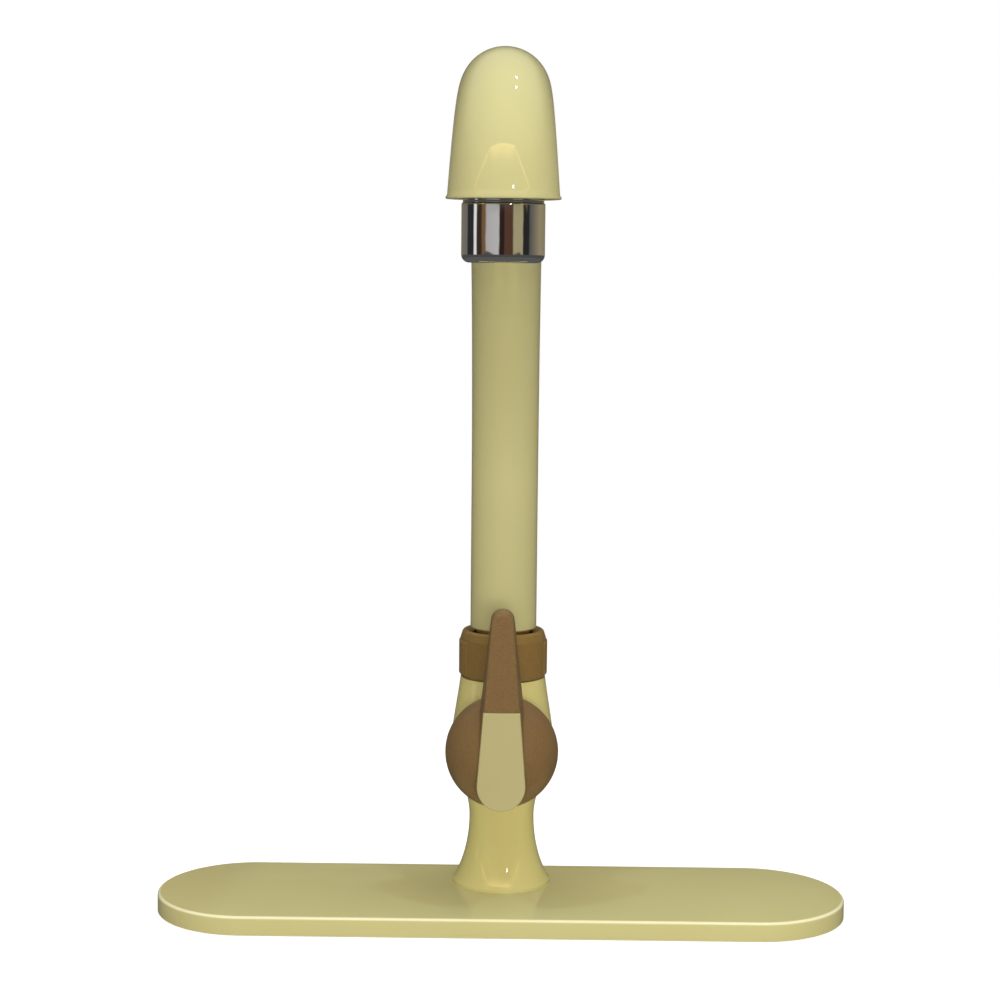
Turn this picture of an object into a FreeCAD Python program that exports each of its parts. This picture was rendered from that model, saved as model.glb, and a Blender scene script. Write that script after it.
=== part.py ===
import FreeCAD, Part
import math
import os

# Single lever kitchen tap on a long deck plate, in millimetres.
# +Z is up and -Y is the front. The origin is on the deck, on the axis of the body and the spout.

# Deck plate, its support tray and its gasket
plate_length = 263.0
plate_width = 71.0
plate_height = 7.1
plate_skin = 2.0
plate_edge_radius = 1.3
plate_shift = 15.5
tray_clearance = 0.2
tray_floor = 1.5
tray_rib = 1.6
tray_rib_pitch = 22.0
gasket_width = 3.6
gasket_height = 2.0
tray_rib_lift = 0.4

# Body: a trumpet foot, a narrow waist, a belly at the height of the hub, and a shoulder under the collar
foot_radius = 18.9
foot_lip = 0.9
waist_radius = 12.5
waist_rise = 26.0
belly_radius = 19.6
hub_rise = 56.9
shoulder_radius = 16.3
body_height = 81.2
boss_radius = 15.5
boss_reach = 27.5
boss_blend = 2.0
foot_curl = 0.48
foot_curl_rise = 0.19
waist_pull = 0.56
belly_pull = 0.36
shoulder_pull = 0.21
shoulder_lean = 0.45
shoulder_lean_rise = 0.54
spigot_radius = 15.8
spigot_clearance = 0.3
foot_seal_width = 1.4
foot_seal_height = 1.2

# Threaded holes in the underside, as tap drill sizes
hose_hole_radius = 4.5
hose_hole_depth = 12.0
hose_hole_spacing = 17.0
hose_hole_back = 5.5
stud_hole_radius = 3.4
stud_hole_depth = 14.0

# Water ways through the body
inlet_radius = 2.5
inlet_spacing = 9.2
inlet_drop = 3.0
outlet_radius = 2.9
outlet_lift = 5.2
waterway_back = 5.5

# Spout socket, collar nut and the pieces that hold the spout
socket_radius = 10.45
socket_floor = 3.4
thread_radius = 14.6
thread_height = 12.0
thread_clearance = 0.1
slip_washer_height = 1.0
collar_radius = 16.5
collar_height = 18.3
collar_web = 2.9
collar_mouth_radius = 11.6
collar_dish = 1.4
collar_chamfer_height = 2.6
collar_chamfer_width = 0.45
collar_edge_radius = 1.2
collar_rim_width = 2.0
grip_pad_rise = 0.5
grip_pad_angle = 56.0
grip_pad_turn = 8.0
grip_pad_margin = 1.3
retaining_ring_radius = 13.6
retaining_ring_height = 1.8
retaining_ring_gap_angle = 24.0
play = 0.3

# Spout: a straight riser, a wide bend forward, a rising arm, and a tight bend down into a bell
neck_clearance = 0.05
neck_groove_depth = 1.2
neck_bore_radius = 7.5
neck_chamfer = 0.6
neck_lap = 16.0
spout_lift = 0.7
tube_radius = 12.7
tube_wall = 1.6
tube_edge_radius = 0.7
riser_length = 56.7
rise_bend_radius = 120.0
arm_slope = 18.0
arm_length = 62.1
crown_bend_radius = 32.5
outlet_drop = 0.3
bell_radius = 16.5
bell_flare = 2.5
bell_lip_proud = 0.4
bell_lip_height = 1.1
bell_lip_fade = 1.6
bell_lip_radius = 0.5
bell_wall = 2.1
bell_depth = 9.0
bell_draft = 1.6
seal_cord_radius = 0.9
seal_squash = 0.02

# Aerator under the bell
nipple_radius = 10.85
nipple_shank_radius = 8.3
nipple_shank_height = 6.0
nipple_bore_radius = 6.6
nipple_drop = 4.0
nipple_chamfer = 0.5
aerator_radius = 12.2
aerator_drop = 18.3
aerator_engagement = 7.0
aerator_neck_radius = 11.8
aerator_step_rise = 0.4
aerator_chamfer = 0.5
aerator_edge_radius = 2.4
aerator_lip_height = 1.9
aerator_mouth_radius = 9.6
aerator_washer_height = 1.5
screen_height = 2.0
screen_cell_radius = 1.15
screen_cell_pitch = 2.9
insert_clearance = 0.15
screen_margin = 0.4
former_wall = 1.4
former_roof = 1.6
former_windows = 8
former_window_width = 3.0
former_window_rise = 2.0
former_window_drop = 0.8
jet_radius = 0.6

# Cartridge, lying along Y inside the boss, listed from its back to its front
cartridge_radius = 12.3
cartridge_clearance = 0.1
cartridge_seat = 1.0
cartridge_base_height = 4.5
cartridge_wall = 1.4
fixed_disc_radius = 9.0
fixed_disc_height = 3.2
moving_disc_radius = 6.6
moving_disc_height = 3.0
mixing_chamber_radius = 4.1
carrier_height = 4.2
port_radius = 2.1
port_seal_width = 1.0
port_seal_height = 1.4
case_shoulder = 23.0
case_lid = 1.5
case_neck_radius = 9.6
case_neck_reach = 28.5
turret_neck_radius = 7.8
turret_reach = 29.0
turret_flange_radius = 10.6
turret_pocket_radius = 8.4
turret_seal_depth = 0.5
turret_seal_cord = 0.68
nut_thread_radius = 13.5
nut_flange_radius = 14.9
nut_flange_height = 1.5
nut_slots = 6
nut_slot_width = 2.4

# Lever hub: the dome is a ball round the tilt axis
hub_forward = 24.0
dome_radius = 21.3
dome_wall = 2.4
dome_rim_back = 1.5
tilt_range = 18.0
pivot_pin_radius = 1.25
stem_width = 5.6
stem_reach = 38.0
stem_ball_back = 9.0
stem_ball_radius = 2.0
stem_tail_radius = 1.2
stem_tail_root = 2.6
stem_corner = 0.4
hub_boss_radius = 6.5
hub_boss_reach = 32.0
fit_clearance = 0.05

# Lever: a tapered bar down the front of the dome, with an inlaid pale face on its lower half
lever_face = 46.3
lever_foot = 17.4
lever_foot_radius = 8.75
lever_top = 56.3
lever_top_half_width = 4.1
lever_top_bulge = 3.0
lever_back_at_foot = 30.0
lever_back_at_top = 35.5
lever_draft_at_foot = 2.2
lever_draft_at_top = 0.2
lever_crown_radius = 45.0
lever_edge_radius = 1.1
inlay_rise = 19.6
inlay_thickness = 2.0
inlay_proud = 0.25
inlay_gap = 0.12
inlay_edge_radius = 0.5
inlay_peg_radius = 1.5
inlay_peg_length = 3.0
inlay_peg_spacing = 23.0
screw_head_radius = 4.2
screw_head_height = 2.6
screw_seat = 3.4
screw_radius = 2.45
screw_length = 10.0
screw_head_edge = 0.8
screw_key_radius = 1.6
screw_key_depth = 1.4

# Places worked out from the sizes above
foot_z = plate_height
hub_z = foot_z + hub_rise
shoulder_z = foot_z + body_height
spigot_top_z = shoulder_z + thread_height
collar_top_z = shoulder_z + collar_height
collar_web_z = collar_top_z - collar_web
ring_z = spigot_top_z + slip_washer_height + play
spout_z = collar_top_z + spout_lift
cartridge_bore_radius = cartridge_radius + cartridge_clearance
socket_z = hub_z + cartridge_bore_radius + socket_floor
neck_radius = socket_radius - neck_clearance
fixed_disc_y = -cartridge_seat - cartridge_base_height
moving_disc_y = fixed_disc_y - fixed_disc_height
carrier_y = moving_disc_y - moving_disc_height
carrier_front_y = carrier_y - carrier_height
ball_y = -hub_forward + stem_ball_back
disc_travel = stem_ball_back * math.sin(math.radians(tilt_range))
disc_z = hub_z - disc_travel / 2
inlay_seat_y = -lever_face + inlay_thickness
inlay_seam_z = hub_z + inlay_rise
slope = math.radians(arm_slope)
bend_top_z = spout_z + riser_length
arm_start_y = -rise_bend_radius * (1 - math.sin(slope))
arm_start_z = bend_top_z + rise_bend_radius * math.cos(slope)
arm_end_y = arm_start_y - arm_length * math.cos(slope)
arm_end_z = arm_start_z + arm_length * math.sin(slope)
crown_y = arm_end_y - crown_bend_radius * math.sin(slope)
crown_z = arm_end_z - crown_bend_radius * math.cos(slope)
outlet_y = crown_y - crown_bend_radius
rim_z = crown_z - outlet_drop
bell_roof_z = rim_z + bell_depth
nipple_z = rim_z - nipple_drop
aerator_z = rim_z - aerator_drop
aerator_top_z = rim_z + aerator_engagement

up = FreeCAD.Vector(0, 0, 1)
forward = FreeCAD.Vector(0, -1, 0)
right = FreeCAD.Vector(1, 0, 0)


def at(x, y, z):
    return FreeCAD.Vector(x, y, z)


def upright(radius, bottom, top, x=0.0, y=0.0):
    return Part.makeCylinder(radius, top - bottom, at(x, y, bottom), up)


def ahead(radius, back, front, x=0.0, z=hub_z):
    # A cylinder along Y, from y = back forward to y = front.
    return Part.makeCylinder(radius, back - front, at(x, back, z), forward)


def block(low, high):
    return Part.makeBox(high[0] - low[0], high[1] - low[1], high[2] - low[2], at(*low))


def turned(outline, centre=at(0, 0, 0), axis=up):
    # Revolves an outline of (radius, distance along the axis) pairs round the axis.
    corners = [at(radius, 0, along) for radius, along in outline]
    face = Part.Face(Part.makePolygon(corners + corners[:1]))
    solid = face.revolve(at(0, 0, 0), up, 360)
    solid.Placement = FreeCAD.Placement(centre, FreeCAD.Rotation(up, axis))
    return solid


def edges_where(shape, test):
    return [edge for edge in shape.Edges if test(edge)]


def ring_edges(shape, radius, level, y=0.0):
    # The round edges of this radius at this height, for an edge radius or a chamfer.
    def matches(edge):
        if edge.Degenerated:
            return False
        points = edge.discretize(5)
        flat = all(abs(point.z - level) < 1e-3 for point in points)
        return flat and all(abs(math.hypot(point.x, point.y - y) - radius) < 1e-3 for point in points)
    return edges_where(shape, matches)


def stadium(length, width, bottom, top):
    # A flat block with half-round ends, centred under the deck plate.
    radius = width / 2
    half = length / 2 - radius
    y = -plate_shift
    front = Part.LineSegment(at(-half, y - radius, bottom), at(half, y - radius, bottom))
    right_end = Part.Arc(at(half, y - radius, bottom), at(half + radius, y, bottom), at(half, y + radius, bottom))
    back = Part.LineSegment(at(half, y + radius, bottom), at(-half, y + radius, bottom))
    left_end = Part.Arc(at(-half, y + radius, bottom), at(-half - radius, y, bottom), at(-half, y - radius, bottom))
    outline = Part.Wire([curve.toShape() for curve in (front, right_end, back, left_end)])
    return Part.Face(outline).extrude(at(0, 0, top - bottom))


def seal_ring(radius, cord, centre, axis=up):
    return Part.makeTorus(radius, cord, centre, axis)


def deck_plate():
    solid = stadium(plate_length, plate_width, 0, plate_height)
    rim = edges_where(solid, lambda edge: edge.BoundBox.ZMin > plate_height - 1e-3)
    solid = solid.makeFillet(plate_edge_radius, rim)
    hollow = stadium(plate_length - 2 * plate_skin, plate_width - 2 * plate_skin, 0, plate_height - plate_skin)
    hole = upright(spigot_radius + spigot_clearance, 0, plate_height)
    return solid.cut(hollow).cut(hole)


def tray_size(inset):
    shrink = 2 * (plate_skin + tray_clearance + inset)
    return plate_length - shrink, plate_width - shrink


def plate_tray():
    # Floor under the plate's skin, a rim over the gasket, and cross ribs that stand on the deck.
    top = plate_height - plate_skin
    outer_length, outer_width = tray_size(0)
    inner_length, inner_width = tray_size(gasket_width)
    floor = stadium(outer_length, outer_width, top - tray_floor, top)
    rim = stadium(outer_length, outer_width, gasket_height, top)
    rim = rim.cut(stadium(inner_length, inner_width, gasket_height, top))
    inside = stadium(inner_length, inner_width, tray_rib_lift, top - tray_floor)
    ribs = []
    half_count = int((inner_length / 2 - tray_rib) / tray_rib_pitch)
    for number in range(-half_count, half_count + 1):
        x = number * tray_rib_pitch
        rib = block((x - tray_rib / 2, -plate_shift - plate_width, 0), (x + tray_rib / 2, plate_width, top))
        ribs.append(rib)
    spine = block((-plate_length, -plate_shift - tray_rib / 2, 0), (plate_length, -plate_shift + tray_rib / 2, top))
    lattice = spine.fuse(ribs).common(inside)
    solid = floor.fuse([rim, lattice])
    hole = upright(spigot_radius + 2 * spigot_clearance, 0, plate_height)
    return solid.cut(hole).removeSplitter()


def plate_gasket():
    outer_length, outer_width = tray_size(0)
    inner_length, inner_width = tray_size(gasket_width)
    band = stadium(outer_length, outer_width, 0, gasket_height)
    band = band.cut(stadium(inner_length, inner_width, 0, gasket_height))
    return band.cut(upright(spigot_radius + 2 * spigot_clearance, 0, gasket_height))


def body_outline():
    # Right half of the body, from the foot up to the shoulder, in three smooth curves.
    lip_z = foot_z + foot_lip
    waist_z = foot_z + waist_rise
    foot_rise = waist_z - lip_z
    belly_gap = hub_z - waist_z
    shoulder_gap = shoulder_z - hub_z
    foot_flare = foot_radius - waist_radius
    taper = belly_radius - shoulder_radius
    trumpet = [at(foot_radius, 0, lip_z), at(waist_radius + foot_curl * foot_flare, 0, lip_z + foot_curl_rise * foot_rise),
               at(waist_radius, 0, lip_z + waist_pull * foot_rise), at(waist_radius, 0, waist_z)]
    swell = [at(waist_radius, 0, waist_z), at(waist_radius, 0, waist_z + belly_pull * belly_gap),
             at(belly_radius, 0, hub_z - belly_pull * belly_gap), at(belly_radius, 0, hub_z)]
    fall = [at(belly_radius, 0, hub_z), at(belly_radius, 0, hub_z + shoulder_pull * shoulder_gap),
            at(shoulder_radius + shoulder_lean * taper, 0, hub_z + shoulder_lean_rise * shoulder_gap), at(shoulder_radius, 0, shoulder_z)]
    curves = []
    for poles in (trumpet, swell, fall):
        curve = Part.BezierCurve()
        curve.setPoles(poles)
        curves.append(curve.toShape())
    corners = [at(shoulder_radius, 0, shoulder_z), at(0, 0, shoulder_z), at(0, 0, foot_z), at(foot_radius, 0, foot_z),
               at(foot_radius, 0, lip_z)]
    return Part.Wire(curves + Part.makePolygon(corners).Edges)


def body_waterways():
    # Two inlets climb from the hose holes and turn forward to the cartridge. The outlet climbs to the spout socket.
    cuts = []
    back = waterway_back
    for side in (-1, 1):
        hose_x = side * hose_hole_spacing / 2
        inlet_x = side * inlet_spacing / 2
        cuts.append(upright(hose_hole_radius, 0, hose_hole_depth, hose_x, hose_hole_back))
        cuts.append(upright(inlet_radius, hose_hole_depth, hub_z - inlet_drop, inlet_x, back))
        cuts.append(ahead(port_radius, back, -cartridge_seat, inlet_x, hub_z - inlet_drop))
    cuts.append(ahead(port_radius, back, -cartridge_seat, 0, hub_z + outlet_lift))
    cuts.append(upright(outlet_radius, hub_z + outlet_lift, socket_z, 0, back))
    cuts.append(upright(stud_hole_radius, 0, stud_hole_depth))
    return cuts


def body_casting():
    trunk = Part.Face(body_outline()).revolve(at(0, 0, 0), up, 360)
    trunk = Part.Solid(trunk) if trunk.ShapeType == "Shell" else trunk
    solid = trunk.fuse(ahead(boss_radius, 0, -boss_reach))
    seam = edges_where(solid, lambda edge: edge.BoundBox.YMin < -1 and edge.BoundBox.YMin > -boss_reach + 1
                       and edge.BoundBox.XLength > boss_radius and edge.BoundBox.ZLength > boss_radius)
    solid = solid.makeFillet(boss_blend, seam)
    solid = solid.fuse([upright(spigot_radius, 0, foot_z), upright(thread_radius, shoulder_z, spigot_top_z)])
    solid = solid.cut(ahead(cartridge_bore_radius, -cartridge_seat, -boss_reach))
    solid = solid.cut(ahead(nut_thread_radius + fit_clearance, -case_shoulder, -boss_reach))
    solid = solid.cut(upright(socket_radius, socket_z, spigot_top_z))
    seal_centre = (foot_radius + spigot_radius) / 2
    groove = upright(seal_centre + foot_seal_width / 2, foot_z, foot_z + foot_seal_height)
    groove = groove.cut(upright(seal_centre - foot_seal_width / 2, foot_z, foot_z + foot_seal_height))
    return solid.cut([groove] + body_waterways())


def foot_seal():
    centre = (foot_radius + spigot_radius) / 2
    ring = upright(centre + foot_seal_width / 2, foot_z, foot_z + foot_seal_height)
    return ring.cut(upright(centre - foot_seal_width / 2, foot_z, foot_z + foot_seal_height))


def grip_pad(centre_angle):
    # A raised pad on the side of the collar, with eased upright ends.
    bottom = shoulder_z + grip_pad_margin
    top = collar_top_z - collar_chamfer_height - grip_pad_margin / 2
    outer_radius = collar_radius + grip_pad_rise
    pad = Part.makeCylinder(outer_radius, top - bottom, at(0, 0, bottom), up, grip_pad_angle)
    ends = edges_where(pad, lambda edge: edge.BoundBox.ZLength > 1 and
                       math.hypot(edge.Vertexes[0].X, edge.Vertexes[0].Y) > collar_radius)
    pad = pad.makeFillet(grip_pad_rise * 0.8, [edge for edge in ends if len(edge.Vertexes) == 2])
    pad = pad.cut(upright(thread_radius + 1, bottom, top))
    pad.rotate(at(0, 0, 0), up, centre_angle - grip_pad_angle / 2)
    return pad


def collar_nut():
    bore = thread_radius + thread_clearance
    solid = upright(collar_radius, shoulder_z, collar_top_z)
    solid = solid.makeFillet(collar_edge_radius, ring_edges(solid, collar_radius, shoulder_z))
    chamfer = turned([(collar_radius - collar_chamfer_width, collar_top_z), (collar_radius + 1, collar_top_z),
                      (collar_radius + 1, collar_top_z - collar_chamfer_height),
                      (collar_radius, collar_top_z - collar_chamfer_height)])
    dish = turned([(0, collar_top_z), (collar_radius - collar_rim_width, collar_top_z),
                   (collar_mouth_radius, collar_top_z - collar_dish), (0, collar_top_z - collar_dish)])
    solid = solid.cut([chamfer, dish])
    # The front is at -90 degrees, so the pads stand a little round from the two sides.
    solid = solid.fuse([grip_pad(180 + grip_pad_turn), grip_pad(grip_pad_turn)])
    return solid.cut([upright(bore, shoulder_z, collar_web_z), upright(collar_mouth_radius, collar_web_z, collar_top_z)])


def slip_washer():
    ring = upright(thread_radius - play, spigot_top_z, spigot_top_z + slip_washer_height)
    return ring.cut(upright(socket_radius + play, spigot_top_z, spigot_top_z + slip_washer_height))


def cartridge_ports(radius, back, front):
    low = hub_z - inlet_drop
    left = ahead(radius, back, front, -inlet_spacing / 2, low)
    return [left, ahead(radius, back, front, inlet_spacing / 2, low), ahead(radius, back, front, 0, hub_z + outlet_lift)]


def cartridge_base():
    back = -cartridge_seat
    solid = ahead(cartridge_radius, back, fixed_disc_y)
    rim_front = moving_disc_y + play
    rim = ahead(cartridge_radius - cartridge_wall - fit_clearance, fixed_disc_y, rim_front)
    rim = rim.cut(ahead(fixed_disc_radius + fit_clearance, fixed_disc_y, rim_front))
    solid = solid.fuse(rim)
    seats = cartridge_ports(port_radius + port_seal_width, back, back - port_seal_height)
    return solid.cut(seats + cartridge_ports(port_radius, back, fixed_disc_y))


def port_seals():
    back = -cartridge_seat
    front = back - port_seal_height
    rings = []
    bores = cartridge_ports(port_radius, back, front)
    for ring, bore in zip(cartridge_ports(port_radius + port_seal_width, back, front), bores):
        rings.append(ring.cut(bore))
    return Part.makeCompound(rings)


def fixed_disc():
    solid = ahead(fixed_disc_radius, fixed_disc_y, moving_disc_y)
    return solid.cut(cartridge_ports(port_radius, fixed_disc_y, moving_disc_y))


def cartridge_case():
    inner = cartridge_radius - cartridge_wall
    lid_back = case_shoulder - case_lid
    mouth = turret_neck_radius + play
    outline = [(inner, -fixed_disc_y), (cartridge_radius, -fixed_disc_y), (cartridge_radius, case_shoulder),
               (case_neck_radius, case_shoulder), (case_neck_radius, case_neck_reach), (mouth, case_neck_reach),
               (mouth, lid_back), (inner, lid_back)]
    return turned(outline, at(0, 0, hub_z), forward)


def cartridge_nut():
    bore = case_neck_radius + 2 * play
    front = boss_reach + nut_flange_height
    outline = [(bore, case_shoulder), (nut_thread_radius, case_shoulder), (nut_thread_radius, boss_reach),
               (nut_flange_radius, boss_reach), (nut_flange_radius, front), (bore, front)]
    solid = turned(outline, at(0, 0, hub_z), forward)
    slots = []
    for number in range(nut_slots):
        slot = block((-nut_slot_width / 2, -front, hub_z + nut_thread_radius),
                     (nut_slot_width / 2, -boss_reach, hub_z + nut_flange_radius + 1))
        slot.rotate(at(0, 0, hub_z), forward, number * 360 / nut_slots)
        slots.append(slot)
    return solid.cut(slots)


def turret():
    # The part of the cartridge that turns for temperature. The stem tilts in its slot, on a cross pin.
    back = -moving_disc_y + moving_disc_height + play
    lid_back = case_shoulder - case_lid - play
    outline = [(0, back), (turret_flange_radius, back), (turret_flange_radius, lid_back),
               (turret_neck_radius, lid_back), (turret_neck_radius, turret_reach), (0, turret_reach)]
    solid = turned(outline, at(0, 0, hub_z), forward)
    pocket_front = carrier_front_y - 2 * play
    pocket = ahead(turret_pocket_radius, -back, pocket_front)
    reach = turret_reach - hub_forward
    tilt = math.radians(tilt_range)
    half = stem_width / 2
    drop = (reach * math.sin(tilt) + half) / math.cos(tilt) + play
    slot = block((-half - play, -turret_reach, hub_z - drop), (half + play, pocket_front, hub_z + half + 2 * play))
    tail = hub_forward + pocket_front
    rise = (tail * math.sin(tilt) + half) / math.cos(tilt) + play
    back_slot = block((-half - play, -hub_forward, hub_z - half - play), (half + play, pocket_front, hub_z + rise))
    hole = Part.makeCylinder(pivot_pin_radius, 4 * turret_neck_radius, at(-2 * turret_neck_radius, -hub_forward, hub_z),
                             right)
    groove = seal_ring(turret_neck_radius - turret_seal_depth, turret_seal_cord, at(0, turret_seal_y(), hub_z), forward)
    return solid.cut([pocket, slot, back_slot, hole, groove])


def turret_seal_y():
    return -(turret_reach + hub_forward + pivot_pin_radius) / 2


def turret_seal():
    centre = at(0, turret_seal_y(), hub_z)
    ring = seal_ring(turret_neck_radius - turret_seal_depth, turret_seal_cord, centre, forward)
    return ring.common(ahead(turret_neck_radius + play - 2 * seal_squash, -hub_forward, -turret_reach))


def pivot_pin():
    half = math.sqrt(turret_neck_radius ** 2 - pivot_pin_radius ** 2) - fit_clearance
    return Part.makeCylinder(pivot_pin_radius, 2 * half, at(-half, -hub_forward, hub_z), right)


def moving_disc():
    solid = ahead(moving_disc_radius, moving_disc_y, carrier_y, 0, disc_z)
    chamber = ahead(mixing_chamber_radius, moving_disc_y, (moving_disc_y + carrier_y) / 2, 0, disc_z)
    return solid.cut(chamber)


def disc_carrier():
    solid = ahead(moving_disc_radius, carrier_y, carrier_front_y, 0, disc_z)
    solid = solid.makeChamfer(play, edges_where(solid, lambda edge: edge.BoundBox.YMax < carrier_front_y + 1e-3))
    pocket_back = ball_y + stem_ball_radius + play
    return solid.cut(ahead(stem_ball_radius + play, pocket_back, carrier_front_y))


def stem():
    # Square at the front for the lever, thin behind the pivot, with a ball that pushes the disc carrier.
    half = stem_width / 2
    waist_y = -hub_forward + stem_width
    bar = block((-half, -stem_reach, hub_z - half), (half, waist_y - half, hub_z + half))
    corners = edges_where(bar, lambda edge: edge.BoundBox.YLength > stem_width)
    bar = bar.makeChamfer(stem_corner, corners)
    tail = Part.makeCone(stem_tail_root, stem_tail_radius, ball_y - waist_y + half, at(0, waist_y - half, hub_z),
                         at(0, 1, 0))
    solid = bar.fuse([tail, Part.makeSphere(stem_ball_radius, at(0, ball_y, hub_z))])
    pin_hole = Part.makeCylinder(pivot_pin_radius + fit_clearance, 2 * stem_width, at(-stem_width, -hub_forward, hub_z),
                                 right)
    thread = ahead(screw_radius + fit_clearance, screw_tip_y() + 1, -stem_reach)
    return solid.cut([pin_hole, thread])


def screw_tip_y():
    return inlay_seat_y + screw_seat + screw_length


def lever_outline(spread_foot, spread_top, back_at_foot, back_at_top):
    # The front view of the lever: round foot, tapered sides and a round top. It lies on a plane that may lean.
    foot_radius_here = lever_foot_radius + spread_foot
    centre_z = hub_z - lever_foot + lever_foot_radius
    top_z = hub_z + lever_top
    half_top = lever_top_half_width + spread_top
    shoulder = top_z - lever_top_bulge
    lean = math.asin((foot_radius_here - half_top) / (shoulder - centre_z))

    def place(x, z):
        share = (z - hub_z + lever_foot) / (lever_top + lever_foot)
        return at(x, -(back_at_foot + (back_at_top - back_at_foot) * share), z)
    side_x = foot_radius_here * math.cos(lean)
    side_z = centre_z + foot_radius_here * math.sin(lean)
    foot = Part.Arc(place(-side_x, side_z), place(0, centre_z - foot_radius_here), place(side_x, side_z))
    right_side = Part.LineSegment(place(side_x, side_z), place(half_top, shoulder))
    top = Part.Arc(place(half_top, shoulder), place(0, top_z + spread_top), place(-half_top, shoulder))
    left_side = Part.LineSegment(place(-half_top, shoulder), place(-side_x, side_z))
    return Part.Wire([curve.toShape() for curve in (foot, right_side, top, left_side)])


def lever_bar(face, crown_radius):
    # Drafted sides from the face back to the dome, and a face that bows gently from side to side.
    front = lever_outline(0, 0, face, face)
    back = lever_outline(lever_draft_at_foot, lever_draft_at_top, lever_back_at_foot, lever_back_at_top)
    bar = Part.makeLoft([front, back], True, True)
    crown = Part.makeCylinder(crown_radius, 4 * lever_top, at(0, crown_radius - face, hub_z - 2 * lever_top), up)
    return bar.common(crown)


def lever_shell():
    # Dome and lever in one moulding, with a socket for the stem inside the dome.
    centre = at(0, -hub_forward, hub_z)
    dome = Part.makeSphere(dome_radius, centre)
    behind = block((-2 * dome_radius, -hub_forward + dome_rim_back, hub_z - 2 * dome_radius),
                   (2 * dome_radius, dome_radius, hub_z + 2 * dome_radius))
    bar = lever_bar(lever_face, lever_crown_radius)
    soft = edges_where(bar, lambda edge: edge.BoundBox.YMin < -lever_back_at_top - 1e-3
                       and edge.BoundBox.YMax < -lever_back_at_top + 0.1)
    bar = bar.makeFillet(lever_edge_radius, soft)
    solid = dome.fuse(bar)
    seam = edges_where(solid, lambda edge: on_dome(edge, centre))
    solid = solid.makeFillet(lever_edge_radius, seam) if seam else solid
    hollow = Part.makeSphere(dome_radius - dome_wall, centre)
    solid = solid.cut([behind, hollow])
    solid = solid.fuse(ahead(hub_boss_radius, -hub_boss_reach, inlay_seat_y))
    half = stem_width / 2 + fit_clearance
    socket = block((-half, -stem_reach - play, hub_z - half), (half, -hub_boss_reach, hub_z + half))
    screw_hole = ahead(screw_radius + play, -stem_reach, inlay_seat_y)
    counterbore = ahead(screw_head_radius + play, inlay_seat_y + screw_seat, inlay_seat_y)
    pocket = block((-dome_radius, -2 * lever_face, hub_z - 2 * dome_radius), (dome_radius, inlay_seat_y, inlay_seam_z))
    cuts = [socket, screw_hole, counterbore, pocket]
    return solid.cut(cuts + inlay_pegs(play))


def on_dome(edge, centre):
    # True for an edge that lies on the ball of the dome, where the lever runs into it.
    if edge.Degenerated or edge.Length < lever_edge_radius:
        return False
    samples = edge.discretize(5)
    on_ball = all(abs(point.distanceToPoint(centre) - dome_radius) < 1e-3 for point in samples)
    is_seam = all(abs(point.x) < 1e-6 for point in samples) or all(abs(point.y - centre.y) < 1e-6 for point in samples)
    return on_ball and not is_seam


def inlay_pegs(clearance):
    middle = hub_z + (inlay_rise - lever_foot) / 2
    pegs = []
    for side in (-1, 1):
        z = middle + side * inlay_peg_spacing / 2
        pegs.append(ahead(inlay_peg_radius + clearance, inlay_seat_y + inlay_peg_length + clearance, inlay_seat_y, 0, z))
    return pegs


def lever_inlay():
    bar = lever_bar(lever_face + inlay_proud, lever_crown_radius)
    keep = block((-2 * dome_radius, -2 * lever_face, hub_z - 2 * dome_radius),
                 (2 * dome_radius, inlay_seat_y, inlay_seam_z - inlay_gap))
    face = bar.common(keep)
    front = edges_where(face, lambda edge: edge.BoundBox.YMax < inlay_seat_y - inlay_thickness / 3)
    face = face.makeFillet(inlay_edge_radius, front)
    return face.fuse(inlay_pegs(0))


def lever_screw():
    seat = inlay_seat_y + screw_seat
    head = ahead(screw_head_radius, seat, seat - screw_head_height)
    head = head.makeFillet(screw_head_edge, edges_where(head, lambda edge: edge.BoundBox.YMax < seat - 1))
    key = ahead(screw_key_radius, seat - screw_head_height + screw_key_depth, seat - screw_head_height)
    return head.fuse(ahead(screw_radius, seat + screw_length, seat)).cut(key)


def tube_size(along):
    # The tube keeps its size up the riser and round the first bend, then opens out to the bell.
    crown_length = crown_bend_radius * (math.pi / 2 + slope)
    share = along / (arm_length + crown_length + outlet_drop)
    return tube_radius + (bell_radius - tube_radius) * share ** bell_flare


def ring_on_path(heading, y, z, radius):
    # A circle across the path of the spout, where the path climbs at this heading. It starts on the left side.
    centre = at(0, y, z)
    over = at(0, math.sin(heading), math.cos(heading)) * radius
    side = right * radius
    top = Part.Arc(centre - side, centre + over, centre + side)
    bottom = Part.Arc(centre + side, centre - over, centre - side)
    return Part.Wire([top.toShape(), bottom.toShape()])


def crown_place(heading):
    return crown_y + crown_bend_radius * math.sin(heading), crown_z + crown_bend_radius * math.cos(heading)


def spout_rings(wall, last_heading):
    rings = []
    for share in (0.0, 0.33, 0.67):
        along = arm_length * share
        y = arm_start_y - along * math.cos(slope)
        z = arm_start_z + along * math.sin(slope)
        rings.append(ring_on_path(slope, y, z, tube_size(along) - wall))
    steps = 7
    for number in range(steps + 1):
        heading = slope + (last_heading - slope) * number / steps
        y, z = crown_place(heading)
        along = arm_length + crown_bend_radius * (slope - heading)
        rings.append(ring_on_path(heading, y, z, tube_size(along) - wall))
    return rings


def riser_and_bend(radius):
    riser = upright(radius, spout_z, bend_top_z)
    disc = Part.Face(Part.Wire([Part.Circle(at(0, 0, bend_top_z), up, radius).toShape()]))
    bend = disc.revolve(at(0, -rise_bend_radius, bend_top_z), right, 90 - arm_slope)
    return riser, bend


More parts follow.
